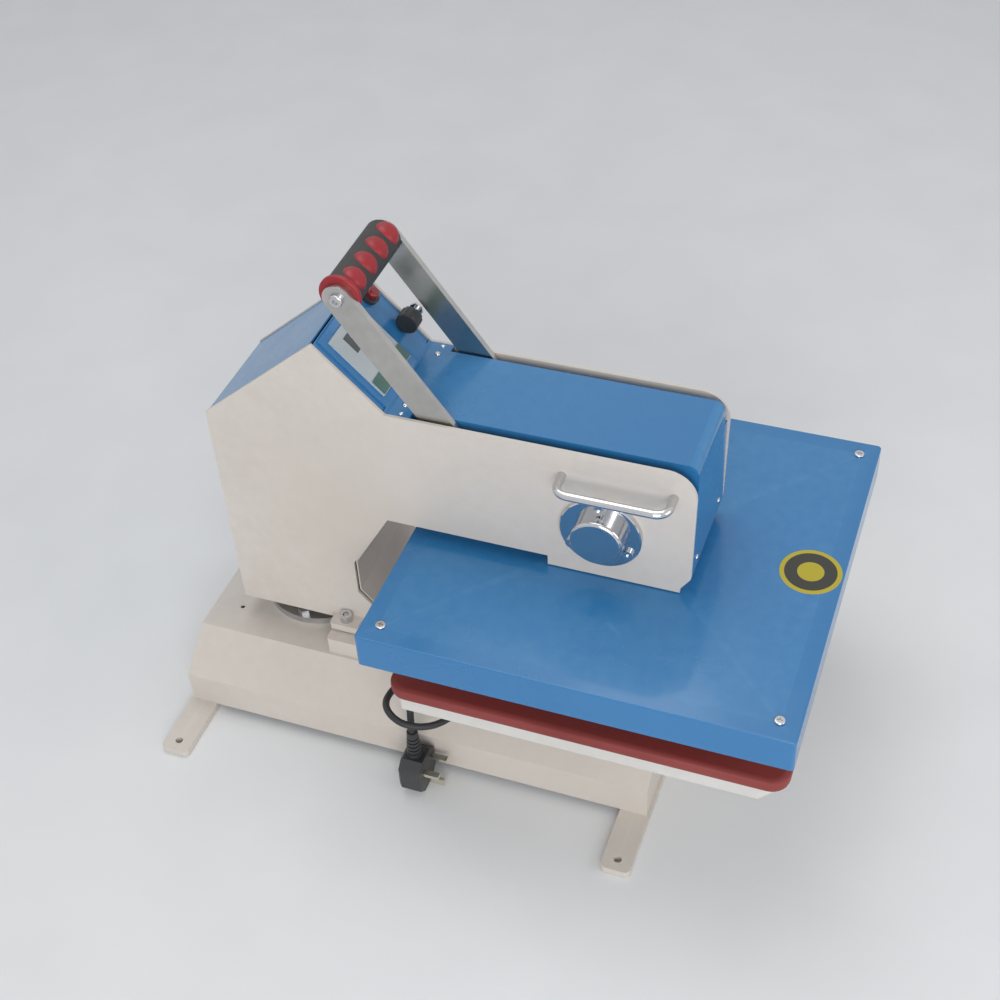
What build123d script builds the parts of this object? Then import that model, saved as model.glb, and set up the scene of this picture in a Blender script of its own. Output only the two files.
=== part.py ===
from build123d import *
import math
import os

# Flat swing-away heat press. Millimetres, +Z up, bench at z = 0.
# +X is the operator's right, -Y the operator's side. The origin is the centre of the four foot holes.

os.makedirs("parts", exist_ok=True)

# Feet and base channel
foot_length = 416.0
foot_width = 30.0
foot_thick = 8.0
foot_hole_r = 4.0
foot_hole_spacing = 390.0
foot_spacing = 479.0
base_length = 504.0
base_height = 72.0
skirt_height = 37.0
base_top_width = 186.0
base_width = 275.0
base_sheet = 2.0
flange_width = 34.0
foot_screw_x = 90.0
foot_screw_r = 3.0

# Swing post and its bearing
post_y = 150.0
post_flange_r = 60.0
post_flange_thick = 8.0
shoulder_r = 30.0
post_r = 18.0
post_run = 0.05
thread_r = 12.0
bush_wall = 3.0
lower_bush_length = 30.0
bush_flange = 4.0
bush_flange_r = 28.0
seat_gap = 0.02
axial_gap = 0.1
sleeve_wall = 7.0
sleeve_height = 144.0
nut_r = 19.0
nut_height = 18.0
washer_r = 25.0
washer_thick = 3.0
post_screw_radius = 50.0
post_screw_r = 4.0
backing_size = 124.0
backing_thick = 6.0
stop_radius = 45.0
stop_pin_r = 4.0
stop_gap = 0.5
swing_range = 90.0

# Head weldment
head_width = 120.0
plate_thick = 3.0
swing_plate_thick = 8.0
column_gap = 30.0
column_back = 213.5
column_front = 62.0
shoulder_z = 353.0
apex_y = 89.0
apex_z = 459.0
panel_foot_y = 23.7
arm_top = 393.0
arm_front = 270.0
arm_nose_low = 257.0
nose_r = 28.0
arm_bottom = 260.0
lip_bottom = 249.0
lip_back = 129.3
cut_top_y = 34.6
cut_mid_y = 77.2
cut_mid_z = 189.3
cut_low_z = 148.4
chin_z = 131.0
sheet = 1.5
cover_inset = 1.0
web_z = 232.0
web_thick = 6.0
tab_reach = 17.0
tab_front = 76.0
tab_back = 107.0
level_x = 67.5
level_y = 91.7
level_r = 4.0
rest_height = 20.0
rest_gap = 0.3

# Arm cover, lever slots and control panel
slot_width = 10.0
cover_side = 46.0
cover_bend = 10.0
slot_end_z = 364.0
nose_inset = 3.0
panel_rise = 2.0
panel_margin = 7.0
fascia_x0 = -42.3
fascia_x1 = 20.0
fascia_s0 = 12.5
fascia_s1 = 83.0
fascia_thick = 2.0
window_x0 = -27.0
window_x1 = 4.0
window_s0 = 21.0
window_s1 = 40.0
keys_s0 = 66.0
keys_thick = 1.5
case_depth = 34.0
case_wall = 2.0
button_x = 40.0
button_s = 18.0
bezel_r = 9.5
bezel_height = 5.0
cap_r = 6.5
cap_height = 11.0
slide_gap = 0.1
knob_r = 11.0
knob_length = 14.0
knob_y = 38.0
knob_z = 425.0
knob_gap = 8.0
stem_r = 4.0

# Lever, shaft and cam
shaft_y = -182.5
shaft_z = 307.0
shaft_r = 12.5
shaft_run = 0.05
cap_flange_r = 39.0
cap_flange = 6.0
boss_r = 25.0
boss_reach = 20.0
boss_wall = 4.0
bush_r = 16.0
cap_screw_radius = 31.5
bar_thick = 6.0
bar_width = 28.0
bar_gap = 2.0
hub_r = 22.0
hub_length = 9.0
elbow_y = -62.0
elbow_z = 340.0
grip_y = 58.5
grip_z = 510.0
grip_core_r = 8.0
grip_r = 17.5
grip_flange_r = 20.0
grip_flange = 5.0
pad_radius = 13.0
pad_pitch = 24.5
pad_first = -33.0
lever_range = 120.0
cam_drop = 18.0
cam_width = 24.0

# Platens
platen_y = -193.0
cover_width = 400.0
cover_length = 406.0
cover_top = 247.5
cover_skirt = 36.5
cover_sheet = 1.2
cover_round = 4.0
strong_back = 240.0
strong_thick = 8.0
heat_width = 380.0
heat_length = 386.0
heat_thick = 16.0
heat_bottom = 205.0
press_gap = 0.3
element_r = 4.0
element_gap = 0.05
corner_x = 180.0
corner_y = 184.0
standoff_r = 6.0
ram_r = 17.0
ram_gap = 0.1
guide_x = 32.0
guide_y = 45.0
guide_r = 6.0
guide_run = 0.05
guide_bush_r = 10.0
guide_bush_flange_r = 12.0
guide_bush_low = 252.0
guide_bush_high = 290.0
collar_r = 10.0
collar_thick = 6.0
guide_top = 345.0
spring_r = 9.5
spring_wall = 2.0
lower_width = 388.0
lower_length = 364.0
lower_thick = 14.0
lower_bottom = 154.0
lower_front = 379.0
lower_corner = 12.0
pad_width = 390.0
pad_length = 380.0
pad_front = 392.0
pad_thick = 12.0
pad_corner = 18.0
pedestal_size = 66.0
pedestal_wall = 3.0
pedestal_flange = 112.0
pedestal_flange_thick = 6.0
pedestal_screw = 45.0

# Pull handles
handle_r = 4.0
handle_back = 146.0
handle_front = 249.0
handle_z = 365.0
handle_reach = 26.0
handle_bend = 12.0
handle_nut = 1.8

# Mains lead and plug
cord_r = 3.5
gland_x = -20.0
gland_z = 98.0
gland_r = 10.0
gland_length = 10.0
relief_length = 24.0
relief_root_r = 7.5
relief_tip_r = 5.0
coil_x = 38.0
coil_y = -40.0
coil_mid_r = 40.0
coil_pitch = 7.9
coil_half_turns = 5
plug_x = -161.0
plug_y = -17.0
plug_low = 0.5
plug_width = 40.0
plug_depth = 24.0
plug_height = 44.0
plug_corner = 10.0
neck_length = 34.0
neck_root_r = 8.0
neck_tip_r = 5.5
pin_reach = 17.7

# Heights that follow from the sizes above
base_top = foot_thick + base_height
skirt_top = foot_thick + skirt_height
column_bottom = base_top + column_gap
swing_plate_low = column_bottom - swing_plate_thick
post_flange_top = base_top + post_flange_thick
shoulder_top = swing_plate_low - bush_flange - axial_gap
sleeve_top = swing_plate_low + sleeve_height
half_head = head_width / 2
half_inside = half_head - plate_thick
cover_half = half_inside - slot_width
bar_outer = half_inside - bar_gap
bar_inner = bar_outer - bar_thick
cover_under = cover_top - cover_sheet
strong_bottom = cover_under - strong_thick
heat_top = heat_bottom + heat_thick
pad_bottom = lower_bottom + lower_thick
pad_top = pad_bottom + pad_thick
stroke = heat_bottom - pad_top - press_gap
cam_base_r = stroke / math.radians(lever_range)
ram_top = shaft_z - cam_drop
pedestal_top = lower_bottom - pedestal_flange_thick
cover_nose = arm_front - nose_inset


def box(x0, x1, y0, y1, z0, z1):
    # Block between two opposite corners.
    lower = Vector(min(x0, x1), min(y0, y1), min(z0, z1))
    sizes = (abs(x1 - x0), abs(y1 - y0), abs(z1 - z0))
    return Pos(lower.X, lower.Y, lower.Z) * Box(*sizes, align=(Align.MIN, Align.MIN, Align.MIN))


def rod_z(x, y, r, z0, z1):
    return Pos(x, y, z0) * Cylinder(r, z1 - z0, align=(Align.CENTER, Align.CENTER, Align.MIN))


def rod_x(y, z, r, x0, x1):
    return Pos(x0, y, z) * Rot(0, 90, 0) * Cylinder(r, x1 - x0, align=(Align.CENTER, Align.CENTER, Align.MIN))


def rod_y(x, z, r, y0, y1):
    return Pos(x, y0, z) * Rot(-90, 0, 0) * Cylinder(r, y1 - y0, align=(Align.CENTER, Align.CENTER, Align.MIN))


def prism_x(points, x0, x1):
    # Polygon of (y, z) points pushed along X.
    face = Face(Wire.make_polygon([Vector(x0, y, z) for y, z in points], close=True))
    return Part() + Solid.extrude(face, Vector(x1 - x0, 0, 0))


def prism_y(points, y0, y1):
    # Polygon of (x, z) points pushed along Y.
    face = Face(Wire.make_polygon([Vector(x, y0, z) for x, z in points], close=True))
    return Part() + Solid.extrude(face, Vector(0, y1 - y0, 0))


def corner_edges(solid, axis, spots, reach=1.0):
    # Edges along an axis that pass within reach of the given spots.
    found = []
    for edge in solid.edges().filter_by(axis):
        middle = edge.center()
        for spot in spots:
            gaps = [abs(a - b) for a, b in zip((middle.X, middle.Y, middle.Z), spot) if b is not None]
            if max(gaps) < reach:
                found.append(edge)
    return found


def hex_z(x, y, across, z0, z1):
    turn = RegularPolygon(across / 2, 6, major_radius=False)
    return Pos(x, y, z0) * extrude(turn, z1 - z0)


def socket_screw(x, y, z_seat, z_tip, r):
    # Socket head screw standing in -Z, head above the seat.
    head = rod_z(x, y, 1.6 * r, z_seat, z_seat + 2 * r)
    socket = hex_z(x, y, 1.5 * r, z_seat + r, z_seat + 2 * r)
    return head - socket + rod_z(x, y, r, z_tip, z_seat)


def mirror_x(shape):
    return mirror(shape, about=Plane.YZ)


def save(name, shape):
    export_step(shape, "parts/" + name + ".step")


def group(name, shapes):
    # Loose like pieces written as one node of separate solids.
    solids = []
    for shape in shapes:
        solids.extend(shape.solids())
    save(name, Compound(children=[Solid(s.wrapped) for s in solids]))


# Base channel: one folded sheet with closed ends and inward flanges over the foot bars
def channel_section(inset):
    top = base_top_width / 2 - inset * 0.55
    low = base_width / 2 - inset
    return [(-low, foot_thick), (-low, skirt_top - inset * 0.5), (-top, base_top - inset),
            (top, base_top - inset), (low, skirt_top - inset * 0.5), (low, foot_thick)]


half_base = base_length / 2
channel = prism_y(channel_section(0), -half_base, half_base)
channel -= prism_y(channel_section(base_sheet), -half_base + base_sheet, half_base - base_sheet)
for side in (-1, 1):
    inner_half = base_width / 2 - base_sheet
    channel += box(-inner_half, inner_half, side * (half_base - flange_width),
                   side * (half_base - base_sheet / 2), foot_thick, foot_thick + base_sheet)
foot_screw_spots = [(sx * foot_screw_x, sy * foot_spacing / 2) for sx in (-1, 1) for sy in (-1, 1)]
for x, y in foot_screw_spots:
    channel -= rod_z(x, y, foot_screw_r + 0.3, foot_thick - 1, foot_thick + base_sheet + 1)
post_screw_spots = [(post_screw_radius * math.cos(math.radians(a)),
                     post_y + post_screw_radius * math.sin(math.radians(a))) for a in (0, 90, 180, 270)]
pedestal_spots = [(sx * pedestal_screw, platen_y + sy * pedestal_screw) for sx in (-1, 1) for sy in (-1, 1)]
for x, y in post_screw_spots + pedestal_spots:
    channel -= rod_z(x, y, post_screw_r + 0.3, base_top - base_sheet - 1, base_top + 1)
wire_hole_r = 12.0
channel -= rod_z(0, platen_y, wire_hole_r, base_top - base_sheet - 1, base_top + 1)
vent_r = 2.5
for side in (-1, 1):
    channel -= rod_z(side * 58.5, 221, vent_r, base_top - base_sheet - 1, base_top + 1)

# Foot bars with the bench holes
foot_bars = []
for side in (-1, 1):
    y = side * foot_spacing / 2
    bar = box(-foot_length / 2, foot_length / 2, y - foot_width / 2, y + foot_width / 2, 0, foot_thick)
    bar = fillet(bar.edges().filter_by(Axis.Z), foot_width / 5)
    for sx in (-1, 1):
        bar -= rod_z(sx * foot_hole_spacing / 2, y, foot_hole_r, -1, foot_thick + 1)
        bar -= rod_z(sx * foot_screw_x, y, foot_screw_r + 0.3, -1, foot_thick + 1)
        bar -= Pos(sx * foot_screw_x, y, 0) * Cone(2 * foot_screw_r + 0.3, foot_screw_r + 0.3, foot_screw_r,
                                                  align=(Align.CENTER, Align.CENTER, Align.MIN))
    foot_bars.append(bar)
group("foot_bars", foot_bars)

# Foot screws from below and their nuts on the flange
flange_top = foot_thick + base_sheet
foot_nut_height = 5.0
screws = []
nuts = []
for x, y in foot_screw_spots:
    head = Pos(x, y, 0.2) * Cone(2 * foot_screw_r, foot_screw_r, foot_screw_r,
                                 align=(Align.CENTER, Align.CENTER, Align.MIN))
    screws.append(head + rod_z(x, y, foot_screw_r, foot_screw_r, flange_top + foot_nut_height + 2))
    nuts.append(hex_z(x, y, 10, flange_top, flange_top + foot_nut_height) -
                rod_z(x, y, foot_screw_r + seat_gap, flange_top - 1, flange_top + foot_nut_height + 1))
base_fasteners = screws + nuts

# Swing post: flange, shoulder, shaft and thread, turned in one piece
post = rod_z(0, post_y, post_flange_r, base_top, post_flange_top)
post += rod_z(0, post_y, shoulder_r, post_flange_top, shoulder_top)
post_end = sleeve_top + bush_flange + axial_gap
post += rod_z(0, post_y, post_r, shoulder_top, post_end)
post += rod_z(0, post_y, thread_r, post_end, post_end + washer_thick + nut_height + 4)
for x, y in post_screw_spots:
    post -= rod_z(x, y, post_screw_r + 0.3, base_top - 1, post_flange_top + 1)
stop_angle = math.radians(-90 + swing_range / 2)
stop_x = stop_radius * math.cos(stop_angle)
stop_y = post_y + stop_radius * math.sin(stop_angle)
post -= rod_z(stop_x, stop_y, stop_pin_r + seat_gap, post_flange_top - 5, post_flange_top + 1)
stop_pin = rod_z(stop_x, stop_y, stop_pin_r, post_flange_top - 5, column_bottom - 2)
group("pivot_post", [post, stop_pin])

# Doubler welded under the sheet, with the post's screws and nuts
backing_top = base_top - base_sheet
backing = box(-backing_size / 2, backing_size / 2, post_y - backing_size / 2, post_y + backing_size / 2,
              backing_top - backing_thick, backing_top)
for x, y in post_screw_spots:
    backing -= rod_z(x, y, post_screw_r + 0.3, backing_top - backing_thick - 1, backing_top + 1)
save("base_channel", channel + backing)
big_nut = 6.5
nut_low = backing_top - backing_thick - big_nut
base_fasteners += [hex_z(x, y, 13, post_flange_top, post_flange_top + 5) +
                   rod_z(x, y, post_screw_r, nut_low - 2, post_flange_top) for x, y in post_screw_spots]
base_fasteners += [hex_z(x, y, 13, nut_low, nut_low + big_nut) -
                   rod_z(x, y, post_screw_r + seat_gap, nut_low - 1, nut_low + big_nut + 1)
                   for x, y in post_screw_spots]

# Washer and lock nut on top of the post
post_washer = rod_z(0, post_y, washer_r, post_end, post_end + washer_thick)
post_washer -= rod_z(0, post_y, thread_r + seat_gap, post_end - 1, post_end + washer_thick + 1)
nut_seat = post_end + washer_thick
lock_nut = hex_z(0, post_y, 2 * nut_r, nut_seat, nut_seat + nut_height)
lock_nut -= rod_z(0, post_y, thread_r + seat_gap, nut_seat - 1, nut_seat + nut_height + 1)
group("post_lock_nut", [post_washer, lock_nut])

# Rest block under the tab
rest_top = base_top + rest_height
rest = box(-half_head - tab_reach - 13, -half_head - 1, tab_front - 8, tab_back - 1, base_top, rest_top)
save("rest_block", fillet(rest.edges().filter_by(Axis.Z), 3))

# Pedestal that carries the lower platen
half_ped = pedestal_size / 2
half_flange = pedestal_flange / 2
ped = box(-half_ped, half_ped, platen_y - half_ped, platen_y + half_ped, base_top, lower_bottom)
for low in (base_top, pedestal_top):
    ped += box(-half_flange, half_flange, platen_y - half_flange, platen_y + half_flange,
               low, low + pedestal_flange_thick)
inner = half_ped - pedestal_wall
ped -= box(-inner, inner, platen_y - inner, platen_y + inner, base_top - 1, lower_bottom + 1)
for x, y in pedestal_spots:
    ped -= rod_z(x, y, post_screw_r + 0.3, base_top - 1, lower_bottom + 1)
gland_wall_y = platen_y + half_ped
gland_thread_r = gland_r - 3
ped -= rod_y(gland_x, gland_z, gland_thread_r + seat_gap, gland_wall_y - pedestal_wall - 1, gland_wall_y + 1)
save("platen_pedestal", ped)
ped_seat = base_top + pedestal_flange_thick
ped_nut_low = base_top - base_sheet - big_nut
base_fasteners += [hex_z(x, y, 13, ped_seat, ped_seat + 5) +
                   rod_z(x, y, post_screw_r, ped_nut_low - 2, ped_seat) for x, y in pedestal_spots]
base_fasteners += [hex_z(x, y, 13, ped_nut_low, ped_nut_low + big_nut) -
                   rod_z(x, y, post_screw_r + seat_gap, ped_nut_low - 1, ped_nut_low + big_nut + 1)
                   for x, y in pedestal_spots]
platen_thread = 10.0
base_fasteners += [hex_z(x, y, 13, pedestal_top - 5, pedestal_top) +
                   rod_z(x, y, post_screw_r, pedestal_top, lower_bottom + platen_thread - 1)
                   for x, y in pedestal_spots]
group("base_fasteners", base_fasteners)

# Lower platen and its silicone pad
lower = box(-lower_width / 2, lower_width / 2, -lower_front, -lower_front + lower_length,
            lower_bottom, pad_bottom)
lower = chamfer(lower.edges().filter_by(Axis.Z), lower_corner)
for x, y in pedestal_spots:
    lower -= rod_z(x, y, post_screw_r + seat_gap, lower_bottom - 1, lower_bottom + platen_thread)
save("lower_platen", lower)
pad = box(-pad_width / 2, pad_width / 2, -pad_front, -pad_front + pad_length, pad_bottom, pad_top)
save("silicone_pad", fillet(pad.edges().filter_by(Axis.Z), pad_corner))

# Swing plate of the head, with the stop groove and the tab
swing = box(-half_head, half_head, column_front, column_back, swing_plate_low, column_bottom)
swing += box(-half_head - tab_reach, -half_head + 1, tab_front, tab_back, swing_plate_low, column_bottom)
swing = fillet(corner_edges(swing, Axis.Z, [(-half_head - tab_reach, tab_front, None),
                                            (-half_head - tab_reach, tab_back, None)]), 3)
sleeve_in = post_r + post_run + bush_wall
swing -= rod_z(0, post_y, sleeve_in + sleeve_wall, swing_plate_low - 1, column_bottom + 1)
groove_half = stop_pin_r + stop_gap
groove = Part()
end_slack = math.degrees(stop_gap / stop_radius) * 0.5
for turn in (-1, 1):
    angle = math.radians(-90 + turn * (swing_range / 2 + end_slack))
    groove += rod_z(stop_radius * math.cos(angle), post_y + stop_radius * math.sin(angle), groove_half,
                    swing_plate_low - 1, column_bottom + 1)
ring = rod_z(0, post_y, stop_radius + groove_half, swing_plate_low - 1, column_bottom + 1)
ring -= rod_z(0, post_y, stop_radius - groove_half, swing_plate_low - 2, column_bottom + 2)
fan = 2 * stop_radius
half_fan = math.radians(swing_range / 2 + end_slack)
wedge = Face(Wire.make_polygon([Vector(0, post_y, swing_plate_low - 1),
                                Vector(-fan * math.sin(half_fan), post_y - fan * math.cos(half_fan),
                                       swing_plate_low - 1),
                                Vector(fan * math.sin(half_fan), post_y - fan * math.cos(half_fan),
                                       swing_plate_low - 1)], close=True))
groove += ring & (Part() + Solid.extrude(wedge, Vector(0, 0, swing_plate_thick + 2)))
swing -= groove
swing -= rod_z(-level_x, level_y, level_r + seat_gap, swing_plate_low - 1, column_bottom + 1)
save("swing_plate", swing)
save("levelling_screw", socket_screw(-level_x, level_y, column_bottom, rest_top + rest_gap, level_r))

# Pivot sleeve, welded to the swing plate and the column web, with its two flanged bushes
sleeve_out = sleeve_in + sleeve_wall
sleeve = rod_z(0, post_y, sleeve_out, swing_plate_low, sleeve_top)
sleeve -= rod_z(0, post_y, sleeve_in + seat_gap, swing_plate_low - 1, sleeve_top + 1)
bush_bore = post_r + post_run
lower_bush = rod_z(0, post_y, bush_flange_r, swing_plate_low - bush_flange, swing_plate_low)
lower_bush += rod_z(0, post_y, sleeve_in, swing_plate_low, swing_plate_low + lower_bush_length)
lower_bush -= rod_z(0, post_y, bush_bore, swing_plate_low - bush_flange - 1,
                    swing_plate_low + lower_bush_length + 1)
upper_bush = rod_z(0, post_y, washer_r, sleeve_top, sleeve_top + bush_flange)
upper_bush += rod_z(0, post_y, sleeve_in, sleeve_top - lower_bush_length, sleeve_top)
upper_bush -= rod_z(0, post_y, bush_bore, sleeve_top - lower_bush_length - 1, sleeve_top + bush_flange + 1)
group("pivot_bushes", [lower_bush, upper_bush])
web = box(-half_inside, half_inside, cut_mid_y + sheet, column_back - cover_inset - sheet, web_z,
          web_z + web_thick)
web += sleeve
web -= rod_z(0, post_y, sleeve_in + seat_gap, swing_plate_low - 1, sleeve_top + 1)
save("pivot_sleeve", web)

# Side plates
plate_outline = [(column_back, column_bottom), (column_back, shoulder_z), (apex_y, apex_z),
                 (panel_foot_y, arm_top), (-arm_front, arm_top), (-arm_front + 3, arm_bottom + 9),
                 (-arm_nose_low, arm_bottom - 6), (-arm_nose_low, lip_bottom),
                 (-lip_back, lip_bottom), (-lip_back, arm_bottom), (cut_top_y, arm_bottom),
                 (cut_mid_y, cut_mid_z), (cut_mid_y, cut_low_z), (column_front, chin_z),
                 (column_front, column_bottom)]
plate = prism_x(plate_outline, half_inside, half_head)
plate = fillet(corner_edges(plate, Axis.X, [(None, -arm_front, arm_top)]), nose_r)
plate = fillet(corner_edges(plate, Axis.X, [(None, -arm_front + 3, arm_bottom + 9)]), 8)
plate -= rod_x(shaft_y, shaft_z, shaft_r + 1, half_inside - 1, half_head + 1)
cap_screw_spots = [(shaft_y + cap_screw_radius * math.cos(math.radians(a)),
                    shaft_z + cap_screw_radius * math.sin(math.radians(a))) for a in (90, 210, 330)]
cap_screw_r = 2.5
for y, z in cap_screw_spots:
    plate -= rod_x(y, z, cap_screw_r + seat_gap, half_inside - 1, half_head + 1)
for y in (-handle_back, -handle_front):
    plate -= rod_x(y, handle_z, handle_r - 1, half_inside - 1, half_head + 1)
save("left_side_plate", mirror_x(plate))
save("right_side_plate", plate - rod_x(knob_y, knob_z, stem_r + seat_gap, half_inside - 1, half_head + 1))


def strip(points, thick, x0, x1):
    # Folded sheet whose outer side follows the points, its thickness to the right of the way it runs.
    inner = []
    for i, (y, z) in enumerate(points):
        before = points[max(i - 1, 0)]
        after = points[min(i + 1, len(points) - 1)]
        normals = []
        for a, b in ((before, (y, z)), ((y, z), after)):
            length = math.dist(a, b)
            if length > 0:
                normals.append(((b[1] - a[1]) / length, -(b[0] - a[0]) / length))
        n0, n1 = normals[0], normals[-1]
        share = 1 + n0[0] * n1[0] + n0[1] * n1[1]
        inner.append((y + thick * (n0[0] + n1[0]) / share, z + thick * (n0[1] + n1[1]) / share))
    return prism_x(points + inner[::-1], x0, x1)


# Rear cover: back wall and roof in one fold, just inside the plates' edges
back_y = column_back - cover_inset
roof_slope = (apex_z - shoulder_z) / (column_back - apex_y)
roof_low = (back_y, shoulder_z - cover_inset * 0.6)
roof_high = (apex_y + 5, roof_low[1] + roof_slope * (back_y - apex_y - 5))
rear = strip([roof_high, roof_low, (back_y, column_bottom)], sheet, -half_inside, half_inside)
save("rear_cover", rear)

# Control panel: sloping sheet with a raised field between two border strips
panel_len = math.dist((apex_y, apex_z), (panel_foot_y, arm_top))
along = ((panel_foot_y - apex_y) / panel_len, (arm_top - apex_z) / panel_len)
outward = (along[1], -along[0])
panel_drop = 2.0


def on_panel(s, h):
    # Point at distance s down the panel and h out of its face.
    return (apex_y + along[0] * s + outward[0] * (h - panel_drop),
            apex_z + along[1] * s + outward[1] * (h - panel_drop))


def panel_block(x0, x1, s0, s1, h0, h1):
    return prism_x([on_panel(s0, h0), on_panel(s1, h0), on_panel(s1, h1), on_panel(s0, h1)], x0, x1)


def panel_rod(x, s, r, h0, h1):
    foot = on_panel(s, h0)
    stand = Plane(origin=(x, foot[0], foot[1]), x_dir=(1, 0, 0), z_dir=(0, outward[0], outward[1]))
    return stand * Cylinder(r, h1 - h0, align=(Align.CENTER, Align.CENTER, Align.MIN))


panel_end = panel_len - 2.5
panel_half = half_inside - panel_margin
panel = panel_block(-half_inside, half_inside, 2.5, panel_end, -sheet, 0)
panel += panel_block(-panel_half, panel_half, 4, panel_end, -sheet, panel_rise)
panel -= panel_block(-panel_half + sheet, panel_half - sheet, 4 + sheet, panel_end - sheet, -sheet - 1,
                     panel_rise - sheet)
case_x0 = fascia_x0 + 3
case_x1 = fascia_x1 - 3
case_s0 = fascia_s0 + 3
case_s1 = fascia_s1 - 3
panel -= panel_block(case_x0, case_x1, case_s0, case_s1, -4, panel_rise + 1)
panel -= panel_rod(button_x, button_s, cap_r + 1.5 + seat_gap, -4, panel_rise + 1)
save("control_panel", panel)

# Temperature and time controller: case behind the panel, fascia in front, window and key strip
case = panel_block(case_x0 + seat_gap, case_x1 - seat_gap, case_s0 + seat_gap, case_s1 - seat_gap,
                   -case_depth, panel_rise)
case -= panel_block(case_x0 + case_wall, case_x1 - case_wall, case_s0 + case_wall, case_s1 - case_wall,
                    -case_depth + case_wall, panel_rise + 1)
save("controller_case", case)
fascia = panel_block(fascia_x0, fascia_x1, fascia_s0, fascia_s1, panel_rise, panel_rise + fascia_thick)
fascia -= panel_block(window_x0, window_x1, window_s0, window_s1, panel_rise - 1, panel_rise + fascia_thick + 1)
save("controller_fascia", fascia)
save("display_window", panel_block(window_x0 + seat_gap, window_x1 - seat_gap, window_s0 + seat_gap,
                                   window_s1 - seat_gap, panel_rise, panel_rise + fascia_thick - 0.3))
key_low = panel_rise + fascia_thick
save("key_strip", panel_block(fascia_x0 + 1, fascia_x1 - 1, keys_s0, fascia_s1 - 1, key_low,
                              key_low + keys_thick))
board_low = panel_rise - 12
board_inset = case_wall + seat_gap
board = panel_block(case_x0 + board_inset, case_x1 - board_inset, case_s0 + board_inset, case_s1 - board_inset,
                    board_low, board_low + 1.6)
board += panel_block(window_x0, window_x1, window_s0, window_s1, board_low + 1.6, panel_rise - 0.1)
save("control_board", board)

# Push button and its bezel
bezel = panel_rod(button_x, button_s, bezel_r, panel_rise, panel_rise + bezel_height)
bezel += panel_rod(button_x, button_s, cap_r + 1.5, -14, panel_rise)
bezel -= panel_rod(button_x, button_s, cap_r + slide_gap, -12, panel_rise + bezel_height + 1)
save("button_bezel", bezel)
cap_base = panel_rise + bezel_height + cap_height - 20
button = panel_rod(button_x, button_s, cap_r, cap_base, panel_rise + cap_height)
button = fillet(button.edges().filter_by(GeomType.CIRCLE).sort_by(Axis.Z)[-1], cap_r * 0.45)
save("push_button", button)

# Knob on its threaded stem
stem_end = half_inside - knob_gap
stem = rod_x(knob_y, knob_z, stem_r, stem_end - knob_length + 3, half_head)
stem += Pos(half_head, knob_y, knob_z) * Rot(0, 90, 0) * extrude(RegularPolygon(6, 6, major_radius=False), 3)
save("knob_stem", stem)
knob = rod_x(knob_y, knob_z, knob_r, stem_end - knob_length, stem_end)
knob = fillet(knob.edges().filter_by(GeomType.CIRCLE).sort_by(Axis.X)[0], 1.5)
flute_count = 12
for i in range(flute_count):
    a = 2 * math.pi * i / flute_count
    knob -= rod_x(knob_y + knob_r * math.cos(a) * 1.03, knob_z + knob_r * math.sin(a) * 1.03, 1.2,
                  stem_end - knob_length - 1, stem_end + 1)
knob -= rod_x(knob_y, knob_z, stem_r + slide_gap / 2, stem_end - knob_length + 2.9, stem_end + 1)
save("adjusting_knob", knob)

# Front wall of the column and floor plate of the arm
front_wall = strip([(cut_top_y, arm_bottom + 1), (cut_mid_y - 1, cut_mid_z + 1), (cut_mid_y - 1, cut_low_z + 1),
                    (column_front, chin_z + 2), (column_front, column_bottom)][::-1], -sheet, -half_inside,
                   half_inside)
save("column_front_wall", front_wall)
floor_thick = 3.0
floor = box(-half_inside, half_inside, -cover_nose + 14, cut_top_y - 2, arm_bottom, arm_bottom + floor_thick)
guide_spots = [(sx * guide_x, platen_y + sy * guide_y) for sx in (-1, 1) for sy in (-1, 1)]
floor -= rod_z(0, platen_y, ram_r + 3, arm_bottom - 1, arm_bottom + floor_thick + 1)
for x, y in guide_spots:
    floor -= rod_z(x, y, guide_bush_r, arm_bottom - 1, arm_bottom + floor_thick + 1)
save("arm_floor_plate", floor)

# Ram collar ring and the four guide bushes in the floor plate
ring_low = lip_bottom + 2
ram_bush = rod_z(0, platen_y, ram_r + 3 - seat_gap, ring_low, arm_bottom + floor_thick)
ram_bush -= rod_z(0, platen_y, ram_r + ram_gap, ring_low - 1, arm_bottom + floor_thick + 1)
guide_bushes = [ram_bush]
for x, y in guide_spots:
    bush = rod_z(x, y, guide_bush_r - seat_gap, guide_bush_low, guide_bush_high)
    bush += rod_z(x, y, guide_bush_flange_r, arm_bottom + floor_thick, arm_bottom + floor_thick + 3)
    guide_bushes.append(bush - rod_z(x, y, guide_r + guide_run, guide_bush_low - 1, guide_bush_high + 1))
group("guide_bushes", guide_bushes)

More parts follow.
